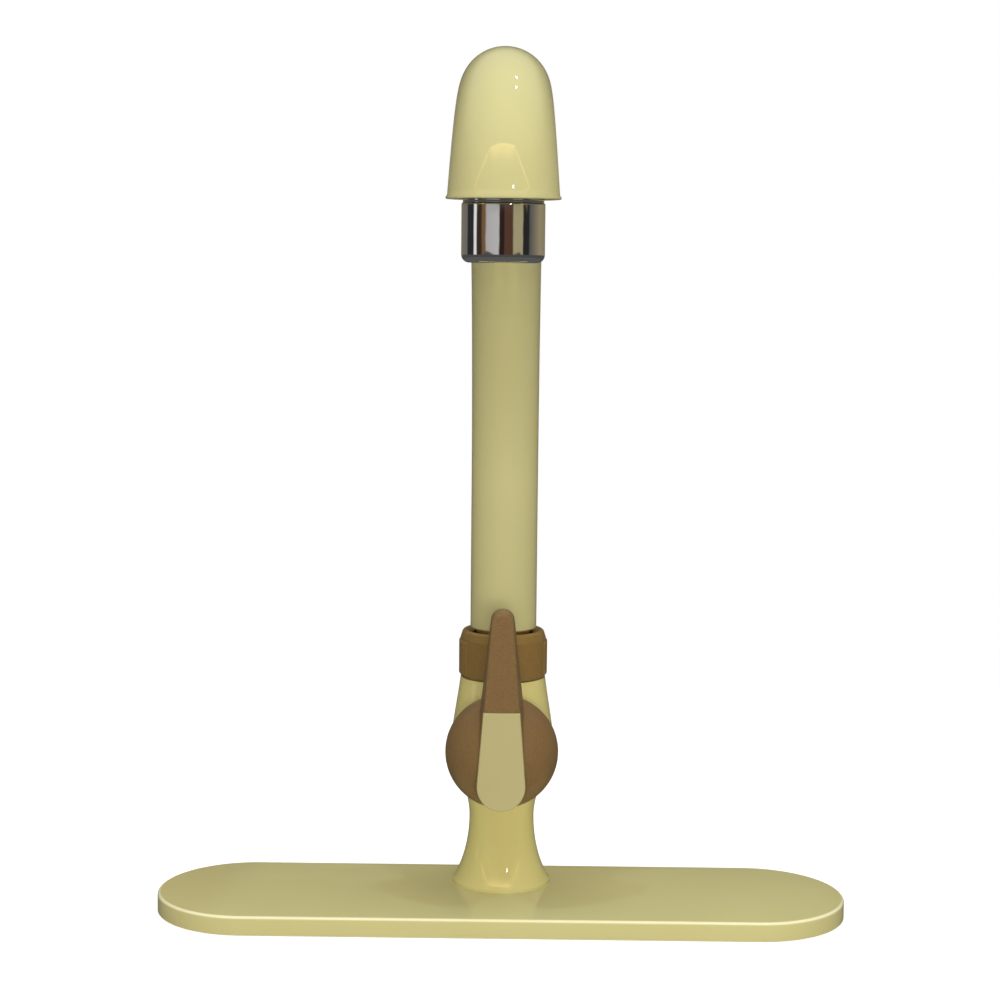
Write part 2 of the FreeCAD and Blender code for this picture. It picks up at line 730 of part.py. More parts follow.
def bell_lip():
    # A small rolled lip round the rim of the bell. It fades back into the bell's side a little higher up.
    lip = bell_radius + bell_lip_proud
    inside = bell_radius - bell_wall
    fade_z = rim_z + bell_lip_height + bell_lip_fade
    outline = [(inside, rim_z), (lip, rim_z), (lip, rim_z + bell_lip_height),
               (bell_radius - bell_lip_proud, fade_z), (inside, fade_z)]
    ring = turned(outline, at(0, outlet_y, 0))
    edges = ring_edges(ring, lip, rim_z, outlet_y) + ring_edges(ring, lip, rim_z + bell_lip_height, outlet_y)
    return ring.makeFillet(bell_lip_radius, edges)


def spout_tube():
    riser, bend = riser_and_bend(tube_radius)
    rings = spout_rings(0, math.radians(-90))
    rings.append(ring_on_path(math.radians(-90), outlet_y, rim_z, bell_radius))
    crown = Part.makeLoft(rings, True, False)
    outside = riser.fuse([bend, crown])
    outside = outside.makeFillet(tube_edge_radius, ring_edges(outside, tube_radius, spout_z))
    outside = outside.fuse(bell_lip())
    riser, bend = riser_and_bend(tube_radius - tube_wall)
    rings = spout_rings(tube_wall, math.radians(-38))
    shank_top = bell_roof_z + nipple_shank_height
    rings.append(ring_on_path(math.radians(-90), outlet_y, shank_top, nipple_shank_radius + fit_clearance))
    passage = Part.makeLoft(rings, True, False)
    shank_hole = upright(nipple_shank_radius + fit_clearance, rim_z, shank_top, 0, outlet_y)
    mouth = bell_radius - bell_wall
    pocket = Part.makeCone(mouth, mouth - bell_draft, bell_depth, at(0, outlet_y, rim_z), up)
    solid = outside.cut(riser.fuse([bend, passage]))
    return solid.cut([shank_hole, pocket])


def seal_levels():
    depth = spigot_top_z - socket_z
    return socket_z + depth * 0.3, socket_z + depth * 0.68


def spout_neck():
    # Turned neck: its upper half is inside the tube, its lower half turns in the body's socket.
    groove = neck_radius - neck_groove_depth
    lap = tube_radius - tube_wall - fit_clearance
    bottom = socket_z + play
    top = spout_z + neck_lap
    half = seal_cord_radius * 1.3
    seal_floor = neck_radius - 2 * seal_cord_radius
    outline = [(neck_bore_radius, bottom), (neck_radius - neck_chamfer, bottom),
               (neck_radius, bottom + neck_chamfer)]
    for level in seal_levels():
        outline += [(neck_radius, level - half), (seal_floor, level - half), (seal_floor, level + half),
                    (neck_radius, level + half)]
    outline += [(neck_radius, ring_z - fit_clearance), (groove, ring_z - fit_clearance),
                (groove, ring_z + retaining_ring_height + fit_clearance),
                (neck_radius, ring_z + retaining_ring_height + fit_clearance),
                (neck_radius, spout_z), (lap, spout_z), (lap, top), (neck_bore_radius, top)]
    return turned(outline)


def spout_seals():
    centre = neck_radius - seal_cord_radius + seal_squash / 2
    return Part.makeCompound([seal_ring(centre, seal_cord_radius, at(0, 0, level)) for level in seal_levels()])


def retaining_ring():
    # An open spring ring in the neck's groove, held down by the web of the collar.
    inner = neck_radius - neck_groove_depth + fit_clearance
    angle = 360 - retaining_ring_gap_angle
    ring = Part.makeCylinder(retaining_ring_radius, retaining_ring_height, at(0, 0, ring_z), up, angle)
    ring = ring.cut(upright(inner, ring_z, ring_z + retaining_ring_height))
    ring.rotate(at(0, 0, 0), up, 90 + retaining_ring_gap_angle / 2)
    return ring


def aerator_nipple():
    top = bell_roof_z + nipple_shank_height - play
    outline = [(nipple_bore_radius, nipple_z), (nipple_radius - nipple_chamfer, nipple_z),
               (nipple_radius, nipple_z + nipple_chamfer),
               (nipple_radius, bell_roof_z), (nipple_shank_radius, bell_roof_z), (nipple_shank_radius, top),
               (nipple_bore_radius, top)]
    return turned(outline, at(0, outlet_y, 0))


def aerator_washer():
    ring = upright(nipple_radius - fit_clearance, nipple_z - aerator_washer_height, nipple_z, 0, outlet_y)
    return ring.cut(upright(nipple_bore_radius + 1, nipple_z - aerator_washer_height, nipple_z, 0, outlet_y))


def aerator_housing():
    # Chromed cup that screws over the nipple, with a rounded lower edge and a narrower neck inside the bell.
    bore = nipple_radius + thread_clearance
    step_z = rim_z + aerator_step_rise
    solid = upright(aerator_radius, aerator_z, step_z, 0, outlet_y)
    solid = solid.makeFillet(aerator_edge_radius, ring_edges(solid, aerator_radius, aerator_z, outlet_y))
    solid = solid.makeChamfer(aerator_chamfer, ring_edges(solid, aerator_radius, step_z, outlet_y))
    solid = solid.fuse(upright(aerator_neck_radius, step_z, aerator_top_z, 0, outlet_y))
    lip_z = aerator_z + aerator_lip_height
    solid = solid.cut(upright(bore, lip_z, aerator_top_z, 0, outlet_y))
    return solid.cut(upright(aerator_mouth_radius, aerator_z, lip_z, 0, outlet_y))


def screen_cells():
    # Hexagon cells on a triangular grid, as many as fit inside the mouth.
    cells = []
    reach = int(aerator_mouth_radius / screen_cell_pitch) + 2
    for row in range(-reach, reach + 1):
        for column in range(-reach, reach + 1):
            x = screen_cell_pitch * (column + row / 2)
            y = screen_cell_pitch * row * math.sqrt(3) / 2
            if math.hypot(x, y) + screen_cell_radius < aerator_mouth_radius - screen_margin:
                cells.append((x, outlet_y + y))
    return cells


def aerator_screen():
    lip_z = aerator_z + aerator_lip_height
    solid = upright(nipple_radius - insert_clearance, lip_z, lip_z + screen_height, 0, outlet_y)
    holes = []
    for x, y in screen_cells():
        corners = []
        for number in range(7):
            angle = math.radians(30 + 60 * number)
            corners.append(at(x + screen_cell_radius * math.cos(angle), y + screen_cell_radius * math.sin(angle), lip_z))
        holes.append(Part.Face(Part.makePolygon(corners)).extrude(at(0, 0, screen_height)))
    return solid.cut(holes)


def flow_former():
    # Plastic cage above the screen: a roof with jets, side windows and an open bottom.
    bottom = aerator_z + aerator_lip_height + screen_height
    top = nipple_z - aerator_washer_height
    roof = top - former_roof
    radius = nipple_radius - insert_clearance
    solid = upright(radius, bottom, top, 0, outlet_y)
    solid = solid.cut(upright(radius - former_wall, bottom, roof, 0, outlet_y))
    half = former_window_width / 2
    cuts = []
    for number in range(former_windows):
        angle = number * 360 / former_windows
        jet = upright(jet_radius, roof, top, radius / 2, outlet_y)
        jet.rotate(at(0, outlet_y, 0), up, angle)
        window = block((radius - 2 * former_wall, outlet_y - half, bottom + former_window_rise),
                       (radius + former_wall, outlet_y + half, roof - former_window_drop))
        window.rotate(at(0, outlet_y, 0), up, angle + 180 / former_windows)
        cuts += [jet, window]
    return solid.cut(cuts)


pieces = [deck_plate, plate_tray, plate_gasket, body_casting, foot_seal, collar_nut, slip_washer, cartridge_base,
          port_seals, fixed_disc, cartridge_case, cartridge_nut, turret, turret_seal, pivot_pin, moving_disc,
          disc_carrier, stem, lever_shell, lever_inlay, lever_screw, spout_tube, spout_neck, spout_seals,
          retaining_ring, aerator_nipple, aerator_washer, aerator_housing, aerator_screen, flow_former]

os.makedirs("parts", exist_ok=True)
for piece in pieces:
    shape = piece()
    shape.exportStep(os.path.join("parts", piece.__name__ + ".step"))
    print(piece.__name__, shape.isValid(), len(shape.Solids), round(shape.Volume, 1))
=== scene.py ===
import bpy
import math
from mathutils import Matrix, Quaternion, Vector


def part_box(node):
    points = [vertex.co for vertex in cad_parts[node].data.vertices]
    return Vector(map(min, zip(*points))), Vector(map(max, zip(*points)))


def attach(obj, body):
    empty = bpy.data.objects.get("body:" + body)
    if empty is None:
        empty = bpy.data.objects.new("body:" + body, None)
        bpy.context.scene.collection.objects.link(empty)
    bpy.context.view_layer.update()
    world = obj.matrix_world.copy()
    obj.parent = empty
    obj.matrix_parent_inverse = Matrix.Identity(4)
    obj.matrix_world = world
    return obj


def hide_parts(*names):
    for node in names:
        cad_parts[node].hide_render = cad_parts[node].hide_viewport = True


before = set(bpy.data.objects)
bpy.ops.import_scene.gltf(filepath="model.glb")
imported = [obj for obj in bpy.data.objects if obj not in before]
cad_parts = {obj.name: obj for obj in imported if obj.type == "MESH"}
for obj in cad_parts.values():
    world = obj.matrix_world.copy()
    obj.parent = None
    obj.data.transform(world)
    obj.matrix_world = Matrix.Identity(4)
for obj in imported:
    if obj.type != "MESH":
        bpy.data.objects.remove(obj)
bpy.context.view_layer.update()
print("frame loaded:", len(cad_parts), "CAD nodes")

mm = 0.001
touching = 1e-6  # metres: points closer than this are one point


# small helpers for working with operators

def clearSelection():
    if bpy.context.object and bpy.context.object.mode != "OBJECT":
        bpy.ops.object.mode_set(mode="OBJECT")
    bpy.ops.object.select_all(action="DESELECT")


def makeActive(piece):
    clearSelection()
    piece.select_set(True)
    bpy.context.view_layer.objects.active = piece


def startEdit(piece, kind="VERT", action="SELECT"):
    # edit mode with everything selected, or nothing when the action is DESELECT
    makeActive(piece)
    bpy.ops.object.mode_set(mode="EDIT")
    bpy.ops.mesh.select_mode(type=kind)
    bpy.ops.mesh.select_all(action=action)


def leaveEdit():
    bpy.ops.object.mode_set(mode="OBJECT")


def selectPoints(piece, test):
    # this one and the next two leave the piece in edit mode with only what passes the test selected
    startEdit(piece, "VERT", "DESELECT")
    leaveEdit()
    for point in piece.data.vertices:
        point.select = test(point.co)
    bpy.ops.object.mode_set(mode="EDIT")


def selectEdges(piece, test):
    # the test gets the edge's two end points
    startEdit(piece, "EDGE", "DESELECT")
    leaveEdit()
    points = piece.data.vertices
    for edge in piece.data.edges:
        edge.select = test(points[edge.vertices[0]].co, points[edge.vertices[1]].co)
    bpy.ops.object.mode_set(mode="EDIT")


def selectFaces(piece, test):
    startEdit(piece, "FACE", "DESELECT")
    leaveEdit()
    for face in piece.data.polygons:
        face.select = test(face)
    bpy.ops.object.mode_set(mode="EDIT")


def settle(piece):
    # puts the place into the mesh, so that the object itself sits at the origin
    makeActive(piece)
    bpy.ops.object.transform_apply(location=True, rotation=True, scale=True)


def startRing(name, radius, place, sides, fill="NOTHING"):
    # a level circle, where a turned or drawn form starts
    clearSelection()
    bpy.ops.mesh.primitive_circle_add(vertices=sides, radius=radius, fill_type=fill,
                                      location=place)
    piece = bpy.context.object
    piece.name = name
    piece.data.name = name
    settle(piece)
    return piece


def latheUp(name, rings, y, sides):
    # a turned form on an upright axis: a circle drawn up ring by ring, each one (radius, height)
    radius, height = rings[0]
    piece = startRing(name, radius, (0, y, height), sides)
    startEdit(piece)
    for nextRadius, nextHeight in rings[1:]:
        move = (0, 0, nextHeight - height)
        bpy.ops.mesh.extrude_edges_move(TRANSFORM_OT_translate={"value": move})
        ratio = nextRadius / radius
        bpy.ops.transform.resize(value=(ratio, ratio, 1), center_override=(0, y, nextHeight))
        radius, height = nextRadius, nextHeight
    leaveEdit()
    return piece


def drawTube(name, stations, sides):
    # a hollow form drawn ring by ring along a path in the middle plane. Each station is
    # (y, z, heading, radius), with the heading in degrees above level, and the last one
    # lies on the first
    y, z, heading, radius = stations[0]
    piece = startRing(name, radius, (0, y, z), sides)
    startEdit(piece)
    for nextY, nextZ, nextHeading, nextRadius in stations[1:]:
        move = (0, nextY - y, nextZ - z)
        bpy.ops.mesh.extrude_edges_move(TRANSFORM_OT_translate={"value": move})
        centre = (0, nextY, nextZ)
        if nextHeading != heading:
            bpy.ops.transform.rotate(value=math.radians(nextHeading - heading), orient_axis="X",
                                     center_override=centre)
        ratio = nextRadius / radius
        bpy.ops.transform.resize(value=(ratio, ratio, ratio), center_override=centre)
        y, z, heading, radius = nextY, nextZ, nextHeading, nextRadius
    leaveEdit()
    return piece


def roundedCorner(centreRadius, centreHeight, size, startAngle, endAngle, steps=5):
    # ring points on part of a round, angles in degrees from the outward direction
    points = []
    for step in range(steps + 1):
        angle = math.radians(startAngle + (endAngle - startAngle) * step / steps)
        points.append((centreRadius + size * math.cos(angle),
                       centreHeight + size * math.sin(angle)))
    return points


def inMetres(rings):
    return [(radius * mm, height * mm) for radius, height in rings]


def carve(piece, cutter):
    makeActive(piece)
    cut = piece.modifiers.new("cut", "BOOLEAN")
    cut.operation = "DIFFERENCE"
    cut.solver = "EXACT"
    cut.object = cutter
    bpy.ops.object.modifier_apply(modifier=cut.name)
    bpy.data.objects.remove(cutter, do_unlink=True)


def finishMesh(piece, angle=35):
    # one closed skin facing outwards, smooth except at edges sharper than the angle
    startEdit(piece)
    bpy.ops.mesh.remove_doubles(threshold=touching)
    bpy.ops.mesh.normals_make_consistent(inside=False)
    leaveEdit()
    bpy.ops.object.shade_smooth_by_angle(angle=math.radians(angle))


# small helpers for node trees: each adds one node and hands back what comes out of it

def addNoise(tree, place, scale, detail=3.0):
    noise = tree.nodes.new("ShaderNodeTexNoise")
    noise.inputs["Scale"].default_value = scale
    noise.inputs["Detail"].default_value = detail
    tree.links.new(place, noise.inputs["Vector"])
    return noise.outputs["Fac"]


def addRamp(tree, value, stops):
    # each stop is (position, colour), in rising order
    ramp = tree.nodes.new("ShaderNodeValToRGB")
    elements = ramp.color_ramp.elements
    for number, (position, colour) in enumerate(stops):
        stop = elements[number] if number < 2 else elements.new(position)
        stop.position = position
        stop.color = (*colour, 1)
    tree.links.new(value, ramp.inputs["Fac"])
    return ramp.outputs["Color"]


def addRange(tree, value, start, end, low, high, smooth=False):
    # turns a value between start and end into one between low and high
    span = tree.nodes.new("ShaderNodeMapRange")
    if smooth:
        span.interpolation_type = "SMOOTHSTEP"
    span.inputs["From Min"].default_value = start
    span.inputs["From Max"].default_value = end
    span.inputs["To Min"].default_value = low
    span.inputs["To Max"].default_value = high
    tree.links.new(value, span.inputs["Value"])
    return span.outputs["Result"]


def addMath(tree, operation, first, second=None):
    # each side is a number or what comes out of another node
    step = tree.nodes.new("ShaderNodeMath")
    step.operation = operation
    for number, value in enumerate((first, second)):
        if isinstance(value, float):
            step.inputs[number].default_value = value
        elif value is not None:
            tree.links.new(value, step.inputs[number])
    return step.outputs[0]


def addBlend(tree, share, low, high):
    # each side is a colour or what comes out of another node
    blend = tree.nodes.new("ShaderNodeMix")
    blend.data_type = "RGBA"
    tree.links.new(share, blend.inputs["Factor"])
    for side, value in (("A", low), ("B", high)):
        if isinstance(value, tuple):
            blend.inputs[side].default_value = (*value, 1)
        else:
            tree.links.new(value, blend.inputs[side])
    return blend.outputs["Result"]


def addShaderMix(tree, share, first, second):
    mix = tree.nodes.new("ShaderNodeMixShader")
    tree.links.new(share, mix.inputs["Fac"])
    tree.links.new(first, mix.inputs[1])
    tree.links.new(second, mix.inputs[2])
    return mix.outputs["Shader"]


# finishes

def newFinish(name):
    finish = bpy.data.materials.new(name)
    finish.use_nodes = True
    tree = finish.node_tree
    place = tree.nodes.new("ShaderNodeTexCoord").outputs["Object"]
    return finish, tree, tree.nodes["Principled BSDF"], place


def cloudRoughness(tree, shader, place, roughness, look):
    # the gloss drifts slowly over the surface
    cloud = addNoise(tree, place, look["cloudScale"])
    spread = addRange(tree, cloud, 0.0, 1.0, roughness * look["glossiest"],
                      roughness * look["dullest"])
    tree.links.new(spread, shader.inputs["Roughness"])


def addBump(tree, shader, height, strength, distance):
    bump = tree.nodes.new("ShaderNodeBump")
    bump.inputs["Strength"].default_value = strength
    bump.inputs["Distance"].default_value = distance
    tree.links.new(height, bump.inputs["Height"])
    tree.links.new(bump.outputs["Normal"], shader.inputs["Normal"])


enamelLook = {"driftScale": 14.0, "deepestAt": 0.3, "palestAt": 0.7, "cloudScale": 35.0,
              "glossiest": 0.7, "dullest": 1.4, "peelScale": 320.0, "peelDetail": 2.0,
              "peelStrength": 0.08, "peelDepth": 0.00005, "refraction": 1.5, "specular": 0.5}


def enamelFinish(name, palest, deepest, roughness=0.045, look=enamelLook):
    # sprayed enamel: a slow drift of colour, a faint orange peel and a hard gloss
    finish, tree, shader, place = newFinish(name)
    drift = addNoise(tree, place, look["driftScale"])
    paint = addRamp(tree, drift, [(look["deepestAt"], deepest), (look["palestAt"], palest)])
    tree.links.new(paint, shader.inputs["Base Color"])
    cloudRoughness(tree, shader, place, roughness, look)
    peel = addNoise(tree, place, look["peelScale"], look["peelDetail"])
    addBump(tree, shader, peel, look["peelStrength"], look["peelDepth"])
    shader.inputs["IOR"].default_value = look["refraction"]
    shader.inputs["Specular IOR Level"].default_value = look["specular"]
    return finish


grainLook = {"fleckScale": 2100.0, "fleckDetail": 2.0, "darkAt": 0.32, "paleAt": 0.68,
             "cloudScale": 50.0, "glossiest": 0.75, "dullest": 1.35, "fleckStrength": 0.10,
             "fleckDepth": 0.00004, "specular": 0.3}


def grainedFinish(name, colour, roughness, contrast, look=grainLook):
    # satin moulded plastic with a fine pale fleck all through it
    finish, tree, shader, place = newFinish(name)
    fleck = addNoise(tree, place, look["fleckScale"], look["fleckDetail"])
    dark = [part * (1 - contrast) for part in colour]
    pale = [part * (1 + contrast) for part in colour]
    grain = addRamp(tree, fleck, [(look["darkAt"], dark), (look["paleAt"], pale)])
    tree.links.new(grain, shader.inputs["Base Color"])
    cloudRoughness(tree, shader, place, roughness, look)
    addBump(tree, shader, fleck, look["fleckStrength"], look["fleckDepth"])
    shader.inputs["Specular IOR Level"].default_value = look["specular"]
    return finish


metalLook = {"cloudScale": 60.0, "glossiest": 0.8, "dullest": 1.3, "grainScale": 500.0,
             "grainDepth": 0.0001, "waveScale": 140.0, "waveDetail": 1.0, "waveDepth": 0.0002}


def metalFinish(name, colour, roughness, grain=0.0, waviness=0.0, look=metalLook):
    # turned metal has a fine grain, and polished plating a faint waviness
    finish, tree, shader, place = newFinish(name)
    shader.inputs["Base Color"].default_value = (*colour, 1)
    shader.inputs["Metallic"].default_value = 1.0
    cloudRoughness(tree, shader, place, roughness, look)
    if grain:
        turning = addNoise(tree, place, look["grainScale"])
        addBump(tree, shader, turning, grain, look["grainDepth"])
    if waviness:
        polish = addNoise(tree, place, look["waveScale"], look["waveDetail"])
        addBump(tree, shader, polish, waviness, look["waveDepth"])
    return finish


plainLook = {"mottleScale": 90.0, "dark": 0.88, "pale": 1.1, "skinDetail": 2.0,
             "skinStrength": 0.15}


def plainFinish(name, colour, roughness, skinScale, skinDepth, look=plainLook):
    # moulded plastic, rubber or ceramic: a faint mottle in colour and a fine moulded skin
    finish, tree, shader, place = newFinish(name)
    mottle = addNoise(tree, place, look["mottleScale"])
    dark = [part * look["dark"] for part in colour]
    pale = [min(1.0, part * look["pale"]) for part in colour]
    tree.links.new(addRamp(tree, mottle, [(0.0, dark), (1.0, pale)]), shader.inputs["Base Color"])
    skin = addNoise(tree, place, skinScale, look["skinDetail"])
    addBump(tree, shader, skin, look["skinStrength"], skinDepth)
    shader.inputs["Roughness"].default_value = roughness
    return finish


# cream paint: palest and deepest tone. Plate, body and spout are copies of one cream paint, made
# paler on plate and body and deeper on the spout as painted light and shade
creamPlate = enamelFinish("creamPlateEnamel", (0.61, 0.57, 0.285), (0.585, 0.54, 0.265))
creamBody = enamelFinish("creamBodyEnamel", (0.64, 0.58, 0.25), (0.61, 0.545, 0.225))
creamSpout = enamelFinish("creamSpoutEnamel", (0.545, 0.515, 0.27), (0.52, 0.487, 0.248))
creamInlay = enamelFinish("creamInlayPlastic", (0.49, 0.447, 0.237), (0.465, 0.42, 0.217),
                          roughness=0.2)
brownHandle = grainedFinish("brownHandlePlastic", (0.200, 0.120, 0.051), 0.4, contrast=0.14)
brownCollar = grainedFinish("brownCollarPlastic", (0.222, 0.135, 0.042), 0.3, contrast=0.12)
chromePlate = metalFinish("chromePlate", (0.76, 0.76, 0.77), 0.035, waviness=0.35)
turnedBrass = metalFinish("turnedBrass", (0.68, 0.50, 0.24), 0.28, grain=0.2)
plainSteel = metalFinish("plainSteel", (0.56, 0.56, 0.57), 0.3, grain=0.1)
whitePlastic = plainFinish("whitePlastic", (0.72, 0.72, 0.69), 0.45, 700.0, 0.0001)
darkPlastic = plainFinish("darkTrayPlastic", (0.035, 0.035, 0.037), 0.5, 600.0, 0.0001)
blackRubber = plainFinish("blackRubber", (0.02, 0.02, 0.021), 0.65, 900.0, 0.0002)
ceramicWhite = plainFinish("ceramicWhite", (0.80, 0.79, 0.76), 0.12, 900.0, 0.00002)
print("finishes ready")

nodeFinish = {
    "deck_plate": creamPlate, "plate_tray": darkPlastic, "plate_gasket": blackRubber,
    "body_casting": creamBody, "foot_seal": blackRubber, "collar_nut": brownCollar,
    "slip_washer": whitePlastic, "cartridge_base": whitePlastic, "port_seals": blackRubber,
    "fixed_disc": ceramicWhite, "cartridge_case": whitePlastic, "cartridge_nut": turnedBrass,
    "turret": whitePlastic, "turret_seal": blackRubber, "pivot_pin": plainSteel,
    "moving_disc": ceramicWhite, "disc_carrier": whitePlastic, "stem": turnedBrass,
    "lever_shell": brownHandle, "lever_inlay": creamInlay, "lever_screw": plainSteel,
    "spout_tube": creamSpout, "spout_neck": turnedBrass, "spout_seals": blackRubber,
    "retaining_ring": plainSteel, "aerator_nipple": turnedBrass, "aerator_washer": blackRubber,
    "aerator_housing": chromePlate, "aerator_screen": whitePlastic, "flow_former": whitePlastic}
for nodeName, finish in nodeFinish.items():
    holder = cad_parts[nodeName]
    holder.data.materials.clear()
    holder.data.materials.append(finish)
print("CAD nodes painted")


# spout: riser, wide bend, arm, crown and bell, with the pocket in the bell and the passage.
# Lengths in all the shapes are in millimetres, and angles in degrees

spoutShape = {"tubeRadius": 12.7, "wall": 1.6, "footRound": 0.7, "riserLength": 56.7,
              "bendRadius": 120.0, "slope": 18.0, "armLength": 62.1, "crownRadius": 32.5,
              "outletDrop": 0.3, "bellRadius": 16.5, "bellFlare": 2.5, "bellWall": 2.1,
              "bellDepth": 9.0, "bellDraft": 1.6, "lipProud": 0.4, "lipHeight": 0.8,
              "lipFade": 0.5, "lipRound": 0.5, "mouthSoft": 0.3, "shankRadius": 8.35,
              "shankHeight": 6.0, "passageEnd": -38.0, "bendSteps": 30, "armSteps": 10,
              "crownSteps": 72, "backSteps": 14, "backShares": (0.66, 0.33, 0.0),
              "sides": 120}
upwards = 90
downwards = -90


def smoothStep(share):
    share = min(1.0, max(0.0, share))
    return share * share * (3 - 2 * share)


def spoutStations(shape):
    # the outside from the foot up and over to the bell's lip, then back by pocket and passage
    tube = shape["tubeRadius"]
    wall = shape["wall"]
    slope = math.radians(shape["slope"])
    bend = shape["bendRadius"]
    arm = shape["armLength"]
    crown = shape["crownRadius"]
    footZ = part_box("spout_tube")[0][2] / mm
    bendZ = footZ + shape["riserLength"]
    armY = -bend * (1 - math.sin(slope))
    armZ = bendZ + bend * math.cos(slope)
    crownY = armY - arm * math.cos(slope) - crown * math.sin(slope)
    crownZ = armZ + arm * math.sin(slope) - crown * math.cos(slope)
    outletY = crownY - crown
    rimZ = crownZ - shape["outletDrop"]
    whole = arm + crown * (math.pi / 2 + slope) + shape["outletDrop"]
    lipTop = shape["lipHeight"] + shape["lipFade"]

    def sizeAt(along):
        return tube + (shape["bellRadius"] - tube) * (along / whole) ** shape["bellFlare"]

    def onBend(heading, radius):
        angle = math.radians(heading)
        return -bend + bend * math.sin(angle), bendZ + bend * math.cos(angle), heading, radius

    def onArm(share, inset):
        along = arm * share
        return (armY - along * math.cos(slope), armZ + along * math.sin(slope), shape["slope"],
                sizeAt(along) - inset)

    def onCrown(heading, inset):
        angle = math.radians(heading)
        along = arm + crown * (slope - angle)
        fromRim = whole - along
        swell = shape["lipProud"] * smoothStep((lipTop - fromRim) / (lipTop - shape["lipRound"]))
        return (crownY + crown * math.sin(angle), crownZ + crown * math.cos(angle), heading,
                sizeAt(along) - inset + (0 if inset else swell))

    stations = [(0, footZ, upwards, tube - wall)]
    foot = shape["footRound"]
    for radius, z in roundedCorner(tube - foot, footZ + foot, foot, -90, 0):
        stations.append((0, z, upwards, radius))
    stations.append((0, bendZ, upwards, tube))
    for step in range(1, shape["bendSteps"] + 1):
        turned = (upwards - shape["slope"]) * step / shape["bendSteps"]
        stations.append(onBend(upwards - turned, tube))
    for step in range(1, shape["armSteps"] + 1):
        stations.append(onArm(step / shape["armSteps"], 0))
    for step in range(1, shape["crownSteps"]):
        turned = (shape["slope"] - downwards) * step / shape["crownSteps"]
        stations.append(onCrown(shape["slope"] - turned, 0))
    lip = shape["bellRadius"] + shape["lipProud"]
    soft = shape["lipRound"]
    for radius, z in roundedCorner(lip - soft, rimZ + soft, soft, 0, -90):
        stations.append((outletY, z, downwards, radius))

    mouth = shape["bellRadius"] - shape["bellWall"]
    roofZ = rimZ + shape["bellDepth"]
    for radius, z in ((mouth + shape["mouthSoft"], rimZ), (mouth, rimZ + shape["mouthSoft"]),
                      (mouth - shape["bellDraft"], roofZ), (shape["shankRadius"], roofZ),
                      (shape["shankRadius"], roofZ + shape["shankHeight"])):
        stations.append((outletY, z, downwards, radius))
    for step in range(shape["backSteps"] + 1):
        turned = (shape["slope"] - shape["passageEnd"]) * step / shape["backSteps"]
        stations.append(onCrown(shape["passageEnd"] + turned, wall))
    for share in shape["backShares"]:
        stations.append(onArm(share, wall))
    for step in range(1, shape["bendSteps"] + 1):
        turned = (upwards - shape["slope"]) * step / shape["bendSteps"]
        stations.append(onBend(shape["slope"] + turned, tube - wall))
    stations.append(stations[0])
    return stations


def makeSpout(shape):
    stations = []
    for y, z, heading, radius in spoutStations(shape):
        stations.append((y * mm, z * mm, heading, radius * mm))
    piece = drawTube("spoutShell", stations, shape["sides"])
    finishMesh(piece, 40)
    piece.data.materials.append(creamSpout)
    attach(piece, "spout")
    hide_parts("spout_tube")


makeSpout(spoutShape)
print("spout drawn")


# aerator housing: a chromed cup under the bell, with a groove below its step

cupShape = {"radius": 12.2, "neckRadius": 11.8, "neckTuck": 0.02, "nippleDrop": 4.0,
            "underRim": 0.4, "chamfer": 0.5, "chamferSoft": 0.05, "bandHeight": 0.5,
            "grooveDepth": 0.38, "grooveHeight": 0.9, "grooveLead": 0.1, "brow": 0.7,
            "browTurn": 70, "browSteps": 6, "edge": 2.4, "edgeSteps": 14, "mouth": 9.6,
            "lipHeight": 1.9, "bore": 10.95, "softening": 0.25, "sides": 160}


def makeAeratorCup(shape):
    low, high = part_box("aerator_housing")
    y = (low[1] + high[1]) / 2
    bottom = low[2] / mm
    top = high[2] / mm
    radius = shape["radius"]
    soft = shape["softening"]
    lead = shape["grooveLead"]
    tuck = shape["neckTuck"]
    grooveRadius = radius - shape["grooveDepth"]
    chamferRadius = radius - shape["chamfer"]
    neckRadius = shape["neckRadius"] - tuck
    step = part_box("aerator_nipple")[0][2] / mm + shape["nippleDrop"] + shape["underRim"]
    groove = step - shape["underRim"] - shape["grooveHeight"]
    lipZ = bottom + shape["lipHeight"]
    rings = [(shape["mouth"], bottom + soft), (shape["mouth"] + soft, bottom)]
    rings += roundedCorner(radius - shape["edge"], bottom + shape["edge"], shape["edge"],
                           -90, 0, shape["edgeSteps"])
    rings += roundedCorner(radius - shape["brow"], groove - shape["brow"], shape["brow"],
                           0, shape["browTurn"], shape["browSteps"])
    rings += [(grooveRadius, groove + lead), (grooveRadius, step - shape["bandHeight"]),
              (chamferRadius + lead, step - shape["chamferSoft"]), (chamferRadius, step),
              (neckRadius, step + tuck), (neckRadius, top - soft),
              (shape["neckRadius"] - soft, top), (shape["bore"], top), (shape["bore"], lipZ),
              (shape["mouth"], lipZ), (shape["mouth"], bottom + soft)]
    piece = latheUp("aeratorCup", inMetres(rings), y, shape["sides"])
    finishMesh(piece)
    piece.data.materials.append(chromePlate)
    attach(piece, "spout")
    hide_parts("aerator_housing")


makeAeratorCup(cupShape)
print("aerator cup turned")


# deck plate: a shallow moulded cover with round ends. A painted highlight makes its paint palest on
# the
# rounded top edge: each stop of the fade is (share of the edge's height, share of the highlight's
# pale tone)

plateShape = {"skin": 2.0, "edge": 1.3, "edgeSegments": 6, "holeRadius": 16.1, "holeSides": 96,
              "cutterHeight": 40.0, "sides": 192, "edgeHighlightColour": (0.84, 0.80, 0.56),
              "edgeHighlightFade": ((0.25, 0.0), (0.6, 1.0), (0.92, 1.0), (0.995, 0.0))}


